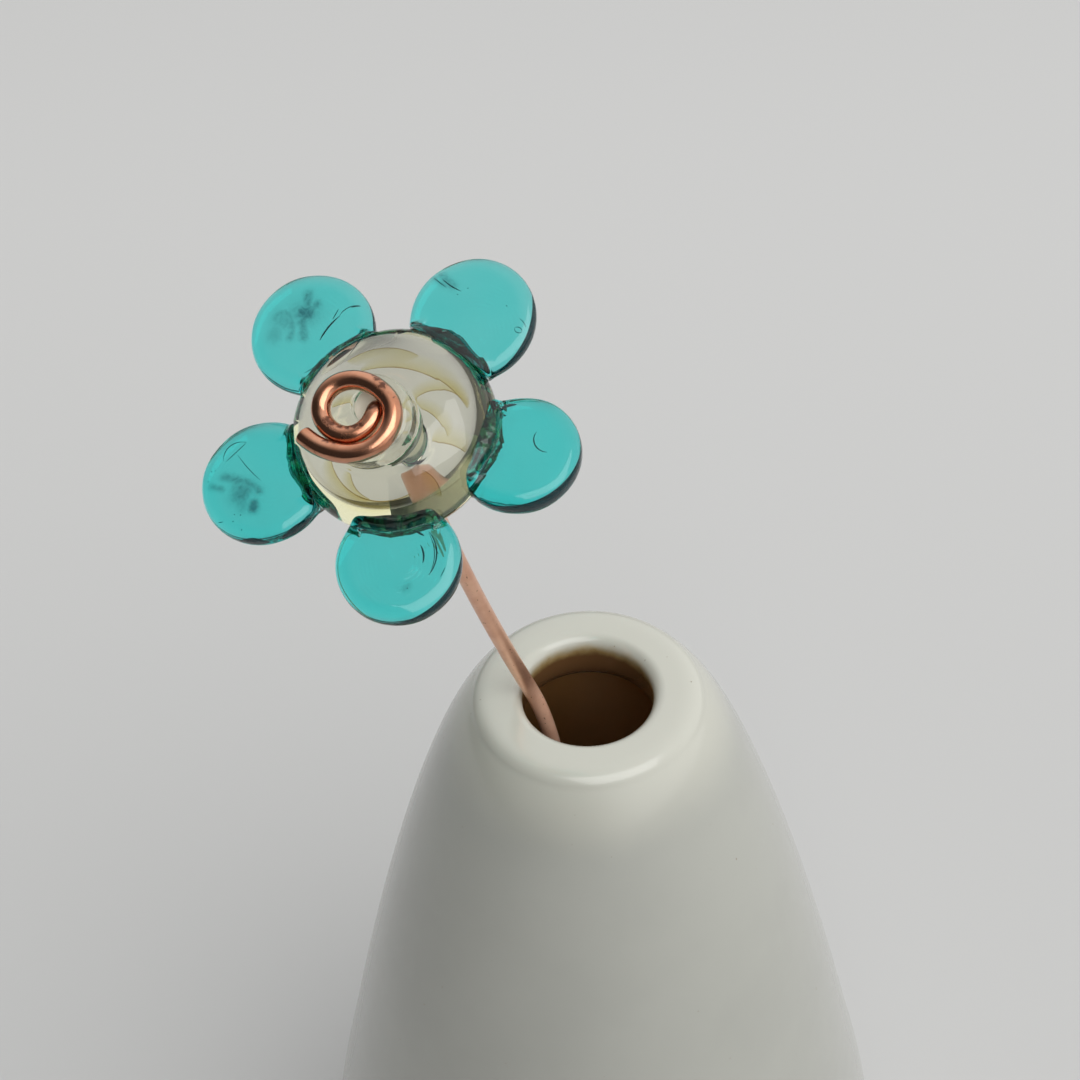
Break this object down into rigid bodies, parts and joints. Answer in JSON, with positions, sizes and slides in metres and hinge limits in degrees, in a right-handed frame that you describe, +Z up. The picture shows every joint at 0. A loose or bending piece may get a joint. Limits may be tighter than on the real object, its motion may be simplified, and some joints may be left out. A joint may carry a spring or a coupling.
{
  "type": "glass flower in a bud vase",
  "caption": "Pressed teal glass petals round a clear glass bead on a coiled copper wire stem, leaning in the small mouth of a white glazed bud vase.",
  "frame": {"origin": "centre of the vase's flat base, on the surface it stands on", "axes": "+Z up along the vase's axis; -Y towards the side the flower's face leans to, and -X towards the side the stem leans to"},
  "size_m": [0.068, 0.068, 0.1724],
  "materials": {
    "glazed_ceramic": "satin",
    "copper": "polished",
    "champagne_glass": "polished",
    "teal_glass": "polished"
  },
  "bodies": {
    "root": {"vase": "glazed_ceramic", "copper_wire": "copper", "bead": "champagne_glass", "petal_bottom": "teal_glass", "petal_right": "teal_glass", "petal_upper_right": "teal_glass", "petal_upper_left": "teal_glass", "petal_left": "teal_glass"}
  },
  "joints": []
}
